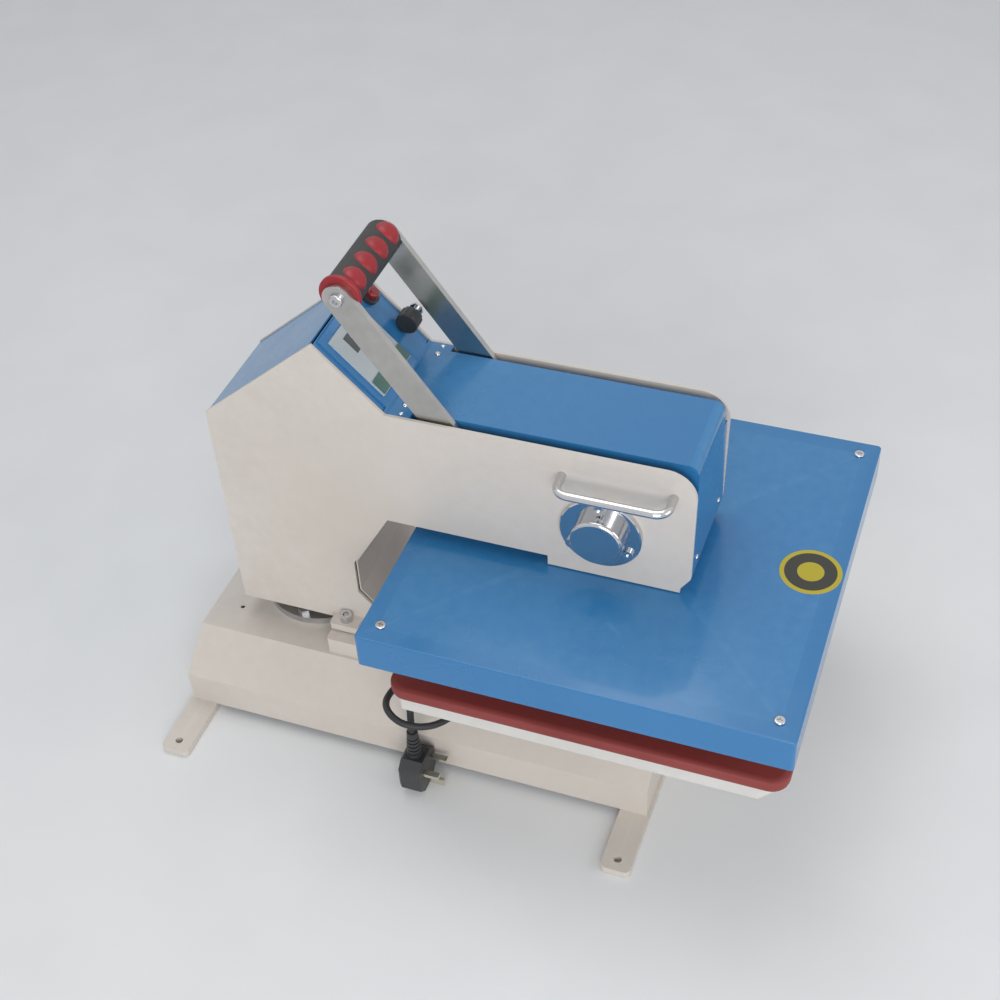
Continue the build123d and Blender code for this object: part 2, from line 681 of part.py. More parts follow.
# Arm cover: top, nose and side flanges folded from one sheet, leaving a slot each side for the lever bars
cover_rear = panel_foot_y - 3.2
nose_foot_y = -arm_nose_low + nose_inset
nose_foot_z = arm_bottom - 6
nose_bend_z = arm_bottom + 9
arm_cover = prism_x([(nose_foot_y, nose_foot_z), (-cover_nose, nose_bend_z), (-cover_nose, arm_top),
                     (cover_rear, arm_top), (cover_rear, nose_foot_z)], -half_inside, half_inside)
arm_cover = fillet(corner_edges(arm_cover, Axis.X, [(None, -cover_nose, arm_top)]), cover_bend)
cover_room = prism_x([(nose_foot_y + 1.5 * sheet, nose_foot_z - 1), (-cover_nose + sheet, nose_bend_z),
                      (-cover_nose + sheet, arm_top - sheet), (cover_rear + 1, arm_top - sheet),
                      (cover_rear + 1, nose_foot_z - 1)], -half_inside - 1, half_inside + 1)
arm_cover -= fillet(corner_edges(cover_room, Axis.X, [(None, -cover_nose + sheet, arm_top - sheet)]),
                    cover_bend - sheet)
for side in (-1, 1):
    arm_cover -= box(side * cover_half, side * (half_inside + 1), -cover_nose - 1, 0, slot_end_z, arm_top + 1)
    flange = box(side * cover_half, side * (cover_half - sheet), -cover_nose, sheet,
                 arm_top - cover_side, arm_top)
    arm_cover += fillet(corner_edges(flange, Axis.X, [(None, -cover_nose, arm_top)]), cover_bend)
    arm_cover += box(side * cover_half, side * half_inside, 0, sheet, arm_top - cover_side, arm_top)
save("arm_cover", arm_cover)


# Bearing caps with blind bores, their bushes and screws
def bearing_cap():
    cap = rod_x(shaft_y, shaft_z, cap_flange_r, half_head, half_head + cap_flange)
    boss = rod_x(shaft_y, shaft_z, boss_r, half_head, half_head + boss_reach)
    boss = fillet(boss.edges().filter_by(GeomType.CIRCLE).sort_by(Axis.X)[-1], 3)
    cap = chamfer(cap.edges().filter_by(GeomType.CIRCLE).sort_by(Axis.X)[-1], 1) + boss
    cap -= rod_x(shaft_y, shaft_z, bush_r + seat_gap, half_head - 1, half_head + boss_reach - boss_wall)
    for y, z in cap_screw_spots:
        cap -= rod_x(y, z, cap_screw_r + 0.3, half_head - 1, half_head + cap_flange + 1)
    return cap


cap_right = bearing_cap()
group("bearing_caps", [cap_right, mirror_x(cap_right)])
bush_end = half_head + boss_reach - boss_wall - 0.5
shaft_bush = rod_x(shaft_y, shaft_z, bush_r, half_head, bush_end)
shaft_bush -= rod_x(shaft_y, shaft_z, shaft_r + shaft_run, half_head - 1, bush_end + 1)
group("shaft_bushes", [shaft_bush, mirror_x(shaft_bush)])
cap_screws = []
for y, z in cap_screw_spots:
    head_x = half_head + cap_flange
    screw = rod_x(y, z, 2 * cap_screw_r, head_x, head_x + 3.2) + rod_x(y, z, cap_screw_r, half_inside, head_x)
    screw -= Pos(head_x + 1.5, y, z) * Rot(0, 90, 0) * extrude(RegularPolygon(2, 6), 3)
    cap_screws += [screw, mirror_x(screw)]


# Pull handles bent from round rod, with threaded ends and nuts inside
def pull_handle():
    outer = half_head + handle_reach
    path = FilletPolyline((half_head, -handle_back, handle_z), (outer, -handle_back, handle_z),
                          (outer, -handle_front, handle_z), (half_head, -handle_front, handle_z),
                          radius=handle_bend)
    section = Plane(origin=path @ 0, z_dir=path % 0) * Circle(handle_r)
    bar = sweep(section, path=path)
    for y in (-handle_back, -handle_front):
        bar += rod_x(y, handle_z, handle_r - 1 - seat_gap, half_inside - handle_nut, half_head + 2)
    return bar


right_handle = pull_handle()
group("pull_handles", [right_handle, mirror_x(right_handle)])
handle_nuts = []
for y in (-handle_back, -handle_front):
    nut = Pos(half_inside - handle_nut, y, handle_z) * Rot(0, 90, 0) * extrude(RegularPolygon(4.5, 6), handle_nut)
    nut -= rod_x(y, handle_z, handle_r - 1, half_inside - 4, half_inside + 1)
    handle_nuts += [nut, mirror_x(nut)]
group("head_fasteners", cap_screws + handle_nuts)

# Lever: cross shaft, two hubs, two cranked bars and the cam
shaft_half = bush_end - 0.3
cross_shaft = rod_x(shaft_y, shaft_z, shaft_r, -shaft_half, shaft_half)


def bar_link(a, b, x0, x1):
    # Straight bar between two (y, z) points, with round ends.
    length = math.dist(a, b)
    side = ((b[1] - a[1]) / length * bar_width / 2, -(b[0] - a[0]) / length * bar_width / 2)
    body = prism_x([(a[0] + side[0], a[1] + side[1]), (b[0] + side[0], b[1] + side[1]),
                    (b[0] - side[0], b[1] - side[1]), (a[0] - side[0], a[1] - side[1])], x0, x1)
    return body + rod_x(a[0], a[1], bar_width / 2, x0, x1) + rod_x(b[0], b[1], bar_width / 2, x0, x1)


bar = bar_link((shaft_y, shaft_z), (elbow_y, elbow_z), bar_inner, bar_outer)
bar += bar_link((elbow_y, elbow_z), (grip_y, grip_z), bar_inner, bar_outer)
bar += rod_x(shaft_y, shaft_z, hub_r, bar_inner, bar_outer)
bar -= rod_x(shaft_y, shaft_z, shaft_r + seat_gap, bar_inner - 1, bar_outer + 1)
lever_screw_r = 4.0
bar -= rod_x(grip_y, grip_z, lever_screw_r + seat_gap, bar_inner - 1, bar_outer + 1)
save("right_lever_bar", bar)
save("left_lever_bar", mirror_x(bar))
hub = rod_x(shaft_y, shaft_z, hub_r, bar_inner - hub_length, bar_inner)
hub -= rod_x(shaft_y, shaft_z, shaft_r + seat_gap, bar_inner - hub_length - 1, bar_inner + 1)
group("cross_shaft", [cross_shaft, hub, mirror_x(hub)])

# Cam: the involute of a circle, so the ram goes down evenly with the lever's turn
start_roll = cam_drop / cam_base_r
end_roll = start_roll + math.radians(lever_range)
cam_turn = start_roll - math.pi


def cam_point(roll):
    y = cam_base_r * (math.cos(roll) + roll * math.sin(roll))
    z = cam_base_r * (-math.sin(roll) + roll * math.cos(roll))
    return (shaft_y + y * math.cos(cam_turn) - z * math.sin(cam_turn),
            shaft_z + y * math.sin(cam_turn) + z * math.cos(cam_turn))


cam_steps = 20
first_roll = start_roll - 0.05
last_roll = end_roll + 0.12
rise = [cam_point(first_roll + (last_roll - first_roll) * i / cam_steps) for i in range(cam_steps + 1)]
flank = Edge.make_spline([Vector(-cam_width / 2, y, z) for y, z in rise])
centre = Vector(-cam_width / 2, shaft_y, shaft_z)
lobe = Wire([flank, Edge.make_line(flank @ 1, centre), Edge.make_line(centre, flank @ 0)])
cam = Part() + Solid.extrude(Face(lobe), Vector(cam_width, 0, 0))
cam += rod_x(shaft_y, shaft_z, cam_drop - 0.4, -cam_width / 2, cam_width / 2)
cam -= rod_x(shaft_y, shaft_z, shaft_r + seat_gap, -cam_width / 2 - 1, cam_width / 2 + 1)
save("press_cam", cam)

# Grip: steel core, rubber sleeve with finger pads, and end flanges
grip_half = bar_inner
save("grip_core", rod_x(grip_y, grip_z, grip_core_r, -grip_half, grip_half) -
     rod_x(grip_y, grip_z, lever_screw_r + seat_gap, -grip_half - 1, -grip_half + 16) -
     rod_x(grip_y, grip_z, lever_screw_r + seat_gap, grip_half - 16, grip_half + 1))
sleeve_half = grip_half - grip_flange
sleeve_body = rod_x(grip_y, grip_z, grip_r, -sleeve_half, grip_half)
pad_y = grip_y - grip_r * 0.55
pad_z = grip_z + grip_r * 0.62
pad_spots = [pad_first + pad_pitch * i for i in range(4)]


def finger_pad(x, grow):
    # Raised oval pad on the top front of the grip.
    ball = Pos(x, pad_y, pad_z) * Rot(42, 0, 0) * scale(Sphere(pad_radius + grow), by=(0.62, 0.95, 0.55))
    return ball - rod_x(grip_y, grip_z, grip_r - 2.5 - grow, -grip_half, grip_half)


for x in pad_spots:
    sleeve_body -= finger_pad(x, seat_gap)
sleeve_body -= rod_x(grip_y, grip_z, grip_core_r + seat_gap, -sleeve_half - 1, grip_half + 1)
save("grip_sleeve", sleeve_body)
group("finger_pads", [finger_pad(x, 0) for x in pad_spots])
end_flange = rod_x(grip_y, grip_z, grip_flange_r, -grip_half, -sleeve_half)
end_flange = fillet(end_flange.edges().filter_by(GeomType.CIRCLE), 1.5)
end_flange -= rod_x(grip_y, grip_z, grip_core_r + seat_gap, -grip_half - 1, -sleeve_half + 1)
save("grip_flange", end_flange)
lever_screw = rod_x(grip_y, grip_z, 6.5, bar_outer, bar_outer + 3.5)
lever_screw = fillet(lever_screw.edges().filter_by(GeomType.CIRCLE).sort_by(Axis.X)[-1], 1.5)
lever_screw -= Pos(bar_outer + 1.5, grip_y, grip_z) * Rot(0, 90, 0) * extrude(RegularPolygon(2.8, 6), 3)
lever_screw += rod_x(grip_y, grip_z, lever_screw_r, grip_half - 14, bar_outer)
group("grip_screws", [lever_screw, mirror_x(lever_screw)])

# Heating platen: cover, strong-back, insulation, cast heating plate with its element, sensor
half_cover = cover_width / 2
cover_y0 = platen_y - cover_length / 2
cover_y1 = platen_y + cover_length / 2
cover = box(-half_cover, half_cover, cover_y0, cover_y1, cover_top - cover_skirt, cover_top)
cover = fillet(corner_edges(cover, Axis.Z, [(sx * half_cover, y, None) for sx in (-1, 1)
                                            for y in (cover_y0, cover_y1)]), cover_round)
cover = fillet(cover.faces().sort_by(Axis.Z)[-1].edges(), 1.5)
cover_in = half_cover - cover_sheet
cover -= box(-cover_in, cover_in, cover_y0 + cover_sheet, cover_y1 - cover_sheet,
             cover_top - cover_skirt - 1, cover_under)
cover -= rod_z(0, platen_y, ram_r + 1, cover_under - 1, cover_top + 1)
corner_spots = [(sx * corner_x, platen_y + sy * corner_y) for sx in (-1, 1) for sy in (-1, 1)]
corner_screw_r = 2.5
for x, y in guide_spots:
    cover -= rod_z(x, y, guide_r + 1, cover_under - 1, cover_top + 1)
for x, y in corner_spots:
    cover -= rod_z(x, y, corner_screw_r + 0.3, cover_under - 1, cover_top + 1)
save("platen_cover", cover)
strong = box(-strong_back / 2, strong_back / 2, platen_y - strong_back / 2, platen_y + strong_back / 2,
             strong_bottom, cover_under)
guide_thread_r = guide_r - 1.5
for x, y in guide_spots:
    strong -= rod_z(x, y, guide_thread_r + seat_gap, strong_bottom - 1, cover_under + 1)
ram_screw_r = 5.0
strong -= rod_z(0, platen_y, ram_screw_r + 0.3, strong_bottom - 1, cover_under + 1)
strong -= rod_z(0, platen_y, 9, strong_bottom - 1, strong_bottom + 5.5)
save("strong_back_plate", strong)
insulation = box(-heat_width / 2, heat_width / 2, platen_y - heat_length / 2, platen_y + heat_length / 2,
                 heat_top, strong_bottom)
for x, y in corner_spots:
    insulation -= rod_z(x, y, standoff_r + 0.3, heat_top - 1, strong_bottom + 1)
save("insulation_board", insulation)
heat = box(-heat_width / 2, heat_width / 2, platen_y - heat_length / 2, platen_y + heat_length / 2,
           heat_bottom, heat_top)
heat = chamfer(heat.edges().filter_by(Axis.Z), 4)
heat_back = platen_y + heat_length / 2
element_z = (heat_bottom + heat_top) / 2
element_x = 130.0
element_out = 6.0


def element(r, tail):
    loop = FilletPolyline((-20, heat_back + tail, element_z), (-20, heat_back - 60, element_z),
                          (-element_x, heat_back - 60, element_z),
                          (-element_x, heat_back - heat_length + 60, element_z),
                          (element_x, heat_back - heat_length + 60, element_z),
                          (element_x, heat_back - 60, element_z), (20, heat_back - 60, element_z),
                          (20, heat_back + tail, element_z), radius=25)
    return sweep(Plane(origin=loop @ 0, z_dir=loop % 0) * Circle(r), path=loop)


sensor_x = 70.0
sensor_r = 2.5
heat -= element(element_r + element_gap, element_out)
heat -= rod_y(sensor_x, element_z, sensor_r + element_gap, heat_back - 40, heat_back + 1)
save("heating_plate", heat)
save("heating_element", element(element_r, element_out))
save("temperature_sensor", rod_y(sensor_x, element_z, sensor_r, heat_back - 39.5, heat_back + element_out))
standoffs = []
corner_screws = []
for x, y in corner_spots:
    standoff = rod_z(x, y, standoff_r, heat_top, cover_under)
    standoffs.append(standoff - rod_z(x, y, corner_screw_r + seat_gap, cover_under - 12, cover_under + 1))
    screw = rod_z(x, y, 2 * corner_screw_r, cover_top, cover_top + 2.5)
    screw = fillet(screw.edges().filter_by(GeomType.CIRCLE).sort_by(Axis.Z)[-1], 1.2)
    screw += rod_z(x, y, corner_screw_r, cover_under - 10, cover_top)
    for turn in (0, 90):
        screw -= Pos(x, y, cover_top + 2) * Rot(0, 0, turn) * Box(5, 1, 2)
    corner_screws.append(screw)

# Ram with its screw, guide rods with collars, and return springs
ram = rod_z(0, platen_y, ram_r, cover_under, ram_top - 0.05)
ram -= rod_z(0, platen_y, ram_screw_r + seat_gap, cover_under - 1, cover_under + 22)
save("press_ram", ram)
ram_screw = rod_z(0, platen_y, 8, strong_bottom + 0.5, strong_bottom + 5.5)
ram_screw += rod_z(0, platen_y, ram_screw_r, strong_bottom + 5.5, cover_under + 20)
group("platen_fasteners", corner_screws + standoffs + [ram_screw])
guide_rods = []
for x, y in guide_spots:
    rod = rod_z(x, y, guide_r, cover_under, guide_top) + rod_z(x, y, guide_thread_r, strong_bottom, cover_under)
    rod += rod_z(x, y, collar_r, guide_top - collar_thick, guide_top)
    guide_rods.append(rod)
group("guide_rods", guide_rods)
spring_low = guide_bush_high
spring_high = guide_top - collar_thick
springs = [rod_z(x, y, spring_r, spring_low, spring_high) -
           rod_z(x, y, spring_r - spring_wall, spring_low - 1, spring_high + 1) for x, y in guide_spots]
group("return_springs", springs)


# Mains lead: gland, tapered relief, lead, put-away coil, plug
def tapered(base, direction, r0, r1, length, bore):
    stand = Plane(origin=base, z_dir=direction)
    shell = stand * Cone(r0, r1, length, align=(Align.CENTER, Align.CENTER, Align.MIN))
    return shell - stand * Cylinder(bore, length * 3, align=(Align.CENTER, Align.CENTER, Align.CENTER))


gland = rod_y(gland_x, gland_z, gland_r, gland_wall_y, gland_wall_y + gland_length)
gland += rod_y(gland_x, gland_z, gland_thread_r, gland_wall_y - pedestal_wall - 3, gland_wall_y)
gland -= rod_y(gland_x, gland_z, cord_r + seat_gap, gland_wall_y - 10, gland_wall_y + gland_length + 1)
relief_y = gland_wall_y + gland_length
relief = tapered((gland_x, relief_y, gland_z), (0, 1, 0), relief_root_r, relief_tip_r, relief_length,
                 cord_r + seat_gap)
save("cord_gland", gland + relief)

# Coil: spirals in on the base top, climbs one layer in a half turn, and spirals out again
coil_low = base_top + cord_r + 0.1
coil_high = coil_low + coil_pitch
edges = []
turn_radii = [coil_mid_r + coil_pitch / 2 * (coil_half_turns // 2 - i) for i in range(coil_half_turns)]
spot = Vector(coil_x, coil_y - turn_radii[0], coil_low)
heading = Vector(1, 0, 0)
coil_start = spot - heading * (2 * cord_r)
edges.append(Edge.make_line(coil_start, spot))


def half_turn(spot, heading, r):
    far = spot + Vector(-heading.Y, heading.X, 0) * (2 * r)
    middle = spot + Vector(-heading.Y, heading.X, 0) * r + heading * r
    return Edge.make_three_point_arc(spot, middle, far), far


for r in turn_radii:
    arc, spot = half_turn(spot, heading, r)
    edges.append(arc)
    heading = heading * -1
climb_r = turn_radii[-1] - coil_pitch / 2
far = spot + Vector(-heading.Y, heading.X, 0) * (2 * climb_r) + Vector(0, 0, coil_high - coil_low)
reach = (far - spot).length / 2
knee = (spot + heading * reach + far + heading * reach) * 0.5
edges.append(Edge.make_tangent_arc(spot, heading, knee))
edges.append(Edge.make_tangent_arc(far, heading, knee))
spot = far
heading = heading * -1
for r in turn_radii[::-1]:
    arc, spot = half_turn(spot, heading, r)
    edges.append(arc)
    heading = heading * -1
coil_end = spot + heading * (2 * cord_r)
edges.append(Edge.make_line(spot, coil_end))
coil_path = Wire(edges)
coil = sweep(Plane(origin=coil_start, z_dir=(1, 0, 0)) * Circle(cord_r), path=coil_path)
save("cord_coil", coil)
samples = 400
line = [coil_path.position_at(i / samples) for i in range(samples + 1)]
apart = coil_path.length / samples
least = min((line[i] - line[j]).length for i in range(samples) for j in range(i + int(60 / apart), samples))
print("coil length", round(coil_path.length, 1), "least gap to itself", round(least - 2 * cord_r, 2))
print("coil volume ratio", round(coil.volume / (coil_path.length * math.pi * cord_r ** 2), 4))

tie_out = turn_radii[0] + cord_r + 4.5
tie_in = climb_r - cord_r - 5.5
tie_box = box(coil_x + tie_in, coil_x + tie_out + 2.5, coil_y - 5, coil_y + 5, base_top + 0.05,
              coil_high + cord_r + 1.6)
tie_box -= box(coil_x + tie_in + 1.2, coil_x + tie_out + 1.3, coil_y - 6, coil_y + 6, base_top + 0.06,
               coil_high + cord_r + 0.4)
save("cord_tie", tie_box)


def tube(name, points):
    # Straight runs joined by tangent arcs, each as large as its two runs allow.
    spots = [Vector(*p) for p in points]
    radii = []
    for a, b, c in zip(spots, spots[1:], spots[2:]):
        turn = math.radians((b - a).get_angle(c - b))
        radii.append(0.45 * min((b - a).length, (c - b).length) / math.tan(turn / 2))
    path = FilletPolyline(*points, radius=radii)
    solid = sweep(Plane(origin=path @ 0, z_dir=path % 0) * Circle(cord_r), path=path)
    print(name, "length", round(path.length, 1), "radii", [round(r) for r in radii],
          "runs", [round((b - a).length) for a, b in zip(spots, spots[1:])],
          "volume ratio", round(solid.volume / (path.length * math.pi * cord_r ** 2), 4))
    save(name, solid)


cord_start = (gland_x, relief_y + relief_length, gland_z)
plug_top = plug_low + plug_height
neck_top = plug_top + neck_length
inlet_route = [cord_start, (gland_x, -104.0, gland_z), (-3.0, coil_start.Y, 91.0),
               (15.0, coil_start.Y, coil_low), (coil_start.X, coil_start.Y, coil_low)]
lead_route = [(coil_end.X, coil_end.Y, coil_end.Z), (-10.0, coil_end.Y, coil_end.Z), (-50.0, 6.0, 90.0),
              (-92.0, 1.0, 94.0), (-132.0, 12.0, 103.0), (-161.0, 12.0, 107.0), (-175.0, -13.0, 102.0),
              (-165.0, -43.0, 98.0), (-136.0, -61.0, 98.0), (-104.0, -60.0, 92.0), (-83.0, -43.0, 90.0),
              (-84.0, -16.0, 95.0), (-102.0, -3.0, 110.0), (-136.0, -9.0, 126.0), (plug_x, plug_y, 108.0),
              (plug_x, plug_y, neck_top)]
tube("cord_inlet_run", inlet_route)
tube("cord_lead_run", lead_route)

# Plug with a cut-cornered body, ribbed neck and three flat pins
half_w = plug_width / 2
half_d = plug_depth / 2
octagon = []
for sx, sz in ((-1, -1), (1, -1), (1, 1), (-1, 1)):
    corner_x1 = plug_x + sx * half_w
    corner_z = plug_low + (plug_height if sz > 0 else 0)
    near_x = (corner_x1 - sx * plug_corner, corner_z)
    near_z = (corner_x1, corner_z - sz * plug_corner)
    octagon += [near_z, near_x] if sx * sz > 0 else [near_x, near_z]
plug = prism_y(octagon, plug_y - half_d, plug_y + half_d)
plug = chamfer(plug.faces().sort_by(Axis.Y)[-1].edges(), 3)
neck = tapered((plug_x, plug_y, plug_top), (0, 0, 1), neck_root_r, neck_tip_r, neck_length, cord_r + seat_gap)
neck = neck + rod_z(plug_x, plug_y, neck_root_r, plug_top, plug_top + 1)
rib_pitch = 5.0
for i in range(1, 6):
    z = plug_top + i * rib_pitch
    groove_ring = rod_z(plug_x, plug_y, neck_root_r + 2, z, z + 1.6)
    groove_ring -= rod_z(plug_x, plug_y, neck_tip_r - 0.6, z - 1, z + 3)
    neck -= groove_ring
save("plug_body", plug + neck)
pin_back = plug_y - half_d
pins = []
for x, z, w, h in ((plug_x - 11.1, plug_low + 31, 6.4, 4.0), (plug_x + 11.1, plug_low + 31, 6.4, 4.0),
                   (plug_x, plug_low + 9.0, 4.0, 8.0)):
    pins.append(box(x - w / 2, x + w / 2, pin_back - pin_reach, pin_back, z - h / 2, z + h / 2))
group("plug_pins", pins)
print("stroke", round(stroke, 3), "per radian", round(cam_base_r, 4), "cam reach",
      round(math.hypot(cam_base_r, cam_base_r * last_roll), 2))
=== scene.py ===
import math
import bmesh
import bpy
from mathutils import Matrix, Vector


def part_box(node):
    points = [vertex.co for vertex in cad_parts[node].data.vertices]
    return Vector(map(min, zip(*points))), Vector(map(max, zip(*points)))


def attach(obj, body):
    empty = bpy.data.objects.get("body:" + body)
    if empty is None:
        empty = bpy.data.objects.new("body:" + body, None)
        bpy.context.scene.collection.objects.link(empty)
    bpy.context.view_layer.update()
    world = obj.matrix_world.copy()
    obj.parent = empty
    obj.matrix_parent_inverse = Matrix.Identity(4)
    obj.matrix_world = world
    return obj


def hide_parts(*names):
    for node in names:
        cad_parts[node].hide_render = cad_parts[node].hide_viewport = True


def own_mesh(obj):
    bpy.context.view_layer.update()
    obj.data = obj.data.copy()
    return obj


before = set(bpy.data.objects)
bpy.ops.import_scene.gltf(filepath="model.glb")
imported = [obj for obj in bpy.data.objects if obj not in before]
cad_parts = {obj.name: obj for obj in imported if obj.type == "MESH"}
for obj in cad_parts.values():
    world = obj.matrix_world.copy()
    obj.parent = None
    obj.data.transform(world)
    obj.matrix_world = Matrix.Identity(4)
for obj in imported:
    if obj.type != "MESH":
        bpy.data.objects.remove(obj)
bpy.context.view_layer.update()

# Studio: soft light from the operator's left and above, with pale grey air all round.
# The camera stands up and to the left, and looks down along the near side plate. Lengths are in metres.
scene = bpy.context.scene
scene.view_settings.view_transform = "Standard"

camera_place = (-1.068163, -0.498245, 1.313274)
camera_right = Vector((0.339935, -0.939329, -0.045887))
camera_down = Vector((-0.646224, -0.197857, -0.737053))
camera_ahead = Vector((0.683256, 0.280202, -0.674275))
camera_data = bpy.data.cameras.new("photo_camera")
camera_data.lens = 57.796
camera_data.sensor_width = 36.0
camera_data.clip_end = 100.0
camera = bpy.data.objects.new("photo_camera", camera_data)
camera_turn = Matrix((camera_right, -camera_down, -camera_ahead)).transposed()
camera.matrix_world = Matrix.Translation(camera_place) @ camera_turn.to_4x4()
scene.collection.objects.link(camera)
scene.camera = camera

# The air lights the press evenly, and it is paper grey where the camera, metal or glass shows it.
world = bpy.data.worlds.new("studio_air")
world.use_nodes = True
scene.world = world
air = world.node_tree
air.nodes.clear()
air_out = air.nodes.new("ShaderNodeOutputWorld")
air_light = air.nodes.new("ShaderNodeBackground")
air_light.inputs["Color"].default_value = (0.95, 0.97, 1.0, 1)
air_light.inputs["Strength"].default_value = 0.42
air_seen = air.nodes.new("ShaderNodeBackground")
air_seen.inputs["Color"].default_value = (0.80, 0.81, 0.82, 1)
air_path = air.nodes.new("ShaderNodeLightPath")
air_clear = air.nodes.new("ShaderNodeMath")
air_clear.operation = "MAXIMUM"
air_any = air.nodes.new("ShaderNodeMath")
air_any.operation = "MAXIMUM"
air_mix = air.nodes.new("ShaderNodeMixShader")
air.links.new(air_path.outputs["Is Camera Ray"], air_any.inputs[0])
air.links.new(air_path.outputs["Is Glossy Ray"], air_clear.inputs[0])
air.links.new(air_path.outputs["Is Transmission Ray"], air_clear.inputs[1])
air.links.new(air_clear.outputs[0], air_any.inputs[1])
air.links.new(air_any.outputs[0], air_mix.inputs[0])
air.links.new(air_light.outputs[0], air_mix.inputs[1])
air.links.new(air_seen.outputs[0], air_mix.inputs[2])
air.links.new(air_mix.outputs[0], air_out.inputs[0])

lamp_aim = Vector((0.0, -0.1, 0.25))
for lamp_name, spot, size, power in (("left_window", (-2.4, -0.9, 1.25), 1.6, 36.0),
                                     ("front_fill", (-0.3, -2.6, 1.1), 1.4, 11.0),
                                     ("ceiling_panel", (0.5, 0.3, 2.6), 1.8, 20.0)):
    lamp_data = bpy.data.lights.new(lamp_name, "AREA")
    lamp_data.size = size
    lamp_data.energy = power
    lamp = bpy.data.objects.new(lamp_name, lamp_data)
    lamp.location = spot
    lamp.rotation_mode = "QUATERNION"
    lamp.rotation_quaternion = (lamp_aim - Vector(spot)).to_track_quat("-Z", "Y")
    scene.collection.objects.link(lamp)


# Base: one folded steel channel with its welded doubler, two flat foot bars, the pedestal under the lower
# platen and a small rest block. They are powder coated off-white, with fine orange peel, and the coat is
# rubbed at the edges.
def effect(name, inputs, outputs):
    # An empty node group, with its named inputs and outputs.
    group = bpy.data.node_groups.new(name, "ShaderNodeTree")
    for label, kind, value in inputs:
        socket = group.interface.new_socket(label, in_out="INPUT", socket_type=kind)
        socket.default_value = value
    for label, kind in outputs:
        group.interface.new_socket(label, in_out="OUTPUT", socket_type=kind)
    return group, group.nodes.new("NodeGroupInput"), group.nodes.new("NodeGroupOutput")


def mottle_group():
    # Slow changes of shade plus fine peel, both from the piece's own coordinates.
    group, start, end = effect("coat_mottle", [("Scale", "NodeSocketFloat", 300.0)],
                               [("Patch", "NodeSocketFloat"), ("Peel", "NodeSocketFloat")])
    place = group.nodes.new("ShaderNodeTexCoord")
    patch = group.nodes.new("ShaderNodeTexNoise")
    patch.inputs["Scale"].default_value = 9.0
    patch.inputs["Detail"].default_value = 5.0
    spread = group.nodes.new("ShaderNodeMapRange")
    spread.inputs["From Min"].default_value = 0.32
    spread.inputs["From Max"].default_value = 0.68
    peel = group.nodes.new("ShaderNodeTexNoise")
    peel.inputs["Detail"].default_value = 2.0
    group.links.new(place.outputs["Object"], patch.inputs["Vector"])
    group.links.new(place.outputs["Object"], peel.inputs["Vector"])
    group.links.new(start.outputs["Scale"], peel.inputs["Scale"])
    group.links.new(patch.outputs["Fac"], spread.inputs["Value"])
    group.links.new(spread.outputs["Result"], end.inputs["Patch"])
    group.links.new(peel.outputs["Fac"], end.inputs["Peel"])
    return group


def rub_group():
    # Where corners stick out, broken up by a coarse noise.
    group, start, end = effect("edge_rub", [("Reach", "NodeSocketFloat", 0.56)],
                               [("Rubbed", "NodeSocketFloat")])
    shape = group.nodes.new("ShaderNodeNewGeometry")
    cut = group.nodes.new("ShaderNodeMapRange")
    cut.inputs["From Max"].default_value = 0.66
    place = group.nodes.new("ShaderNodeTexCoord")
    broken = group.nodes.new("ShaderNodeTexNoise")
    broken.inputs["Scale"].default_value = 90.0
    broken.inputs["Detail"].default_value = 4.0
    both = group.nodes.new("ShaderNodeMath")
    both.operation = "MULTIPLY"
    group.links.new(shape.outputs["Pointiness"], cut.inputs["Value"])
    group.links.new(start.outputs["Reach"], cut.inputs["From Min"])
    group.links.new(place.outputs["Object"], broken.inputs["Vector"])
    group.links.new(cut.outputs["Result"], both.inputs[0])
    group.links.new(broken.outputs["Fac"], both.inputs[1])
    group.links.new(both.outputs[0], end.inputs["Rubbed"])
    return group


mottle = mottle_group()
rub = rub_group()


def surface(name, colour, shade, worn, rough, grain, depth, metallic=0.0, coat=0.0):
    # A finish whose colour drifts to shade in patches, and to worn on rubbed edges.
    # Its fine grain has that many grains a metre, roughly, and that depth.
    made = bpy.data.materials.new(name)
    made.use_nodes = True
    tree = made.node_tree
    shader = tree.nodes["Principled BSDF"]
    patches = tree.nodes.new("ShaderNodeGroup")
    patches.node_tree = mottle
    patches.inputs["Scale"].default_value = grain
    edges = tree.nodes.new("ShaderNodeGroup")
    edges.node_tree = rub
    drift = tree.nodes.new("ShaderNodeMix")
    drift.data_type = "RGBA"
    drift.inputs["A"].default_value = (*colour, 1)
    drift.inputs["B"].default_value = (*shade, 1)
    wear = tree.nodes.new("ShaderNodeMix")
    wear.data_type = "RGBA"
    wear.inputs["B"].default_value = (*worn, 1)
    gloss = tree.nodes.new("ShaderNodeMapRange")
    gloss.inputs["To Min"].default_value = rough * 0.8
    gloss.inputs["To Max"].default_value = min(1.0, rough * 1.25)
    bump = tree.nodes.new("ShaderNodeBump")
    bump.inputs["Strength"].default_value = 0.35
    bump.inputs["Distance"].default_value = depth
    tree.links.new(patches.outputs["Patch"], drift.inputs["Factor"])
    tree.links.new(drift.outputs["Result"], wear.inputs["A"])
    tree.links.new(edges.outputs["Rubbed"], wear.inputs["Factor"])
    tree.links.new(wear.outputs["Result"], shader.inputs["Base Color"])
    tree.links.new(patches.outputs["Patch"], gloss.inputs["Value"])
    tree.links.new(gloss.outputs["Result"], shader.inputs["Roughness"])
    tree.links.new(patches.outputs["Peel"], bump.inputs["Height"])
    tree.links.new(bump.outputs["Normal"], shader.inputs["Normal"])
    shader.inputs["Metallic"].default_value = metallic
    shader.inputs["Coat Weight"].default_value = coat
    shader.inputs["Coat Roughness"].default_value = 0.08
    return made


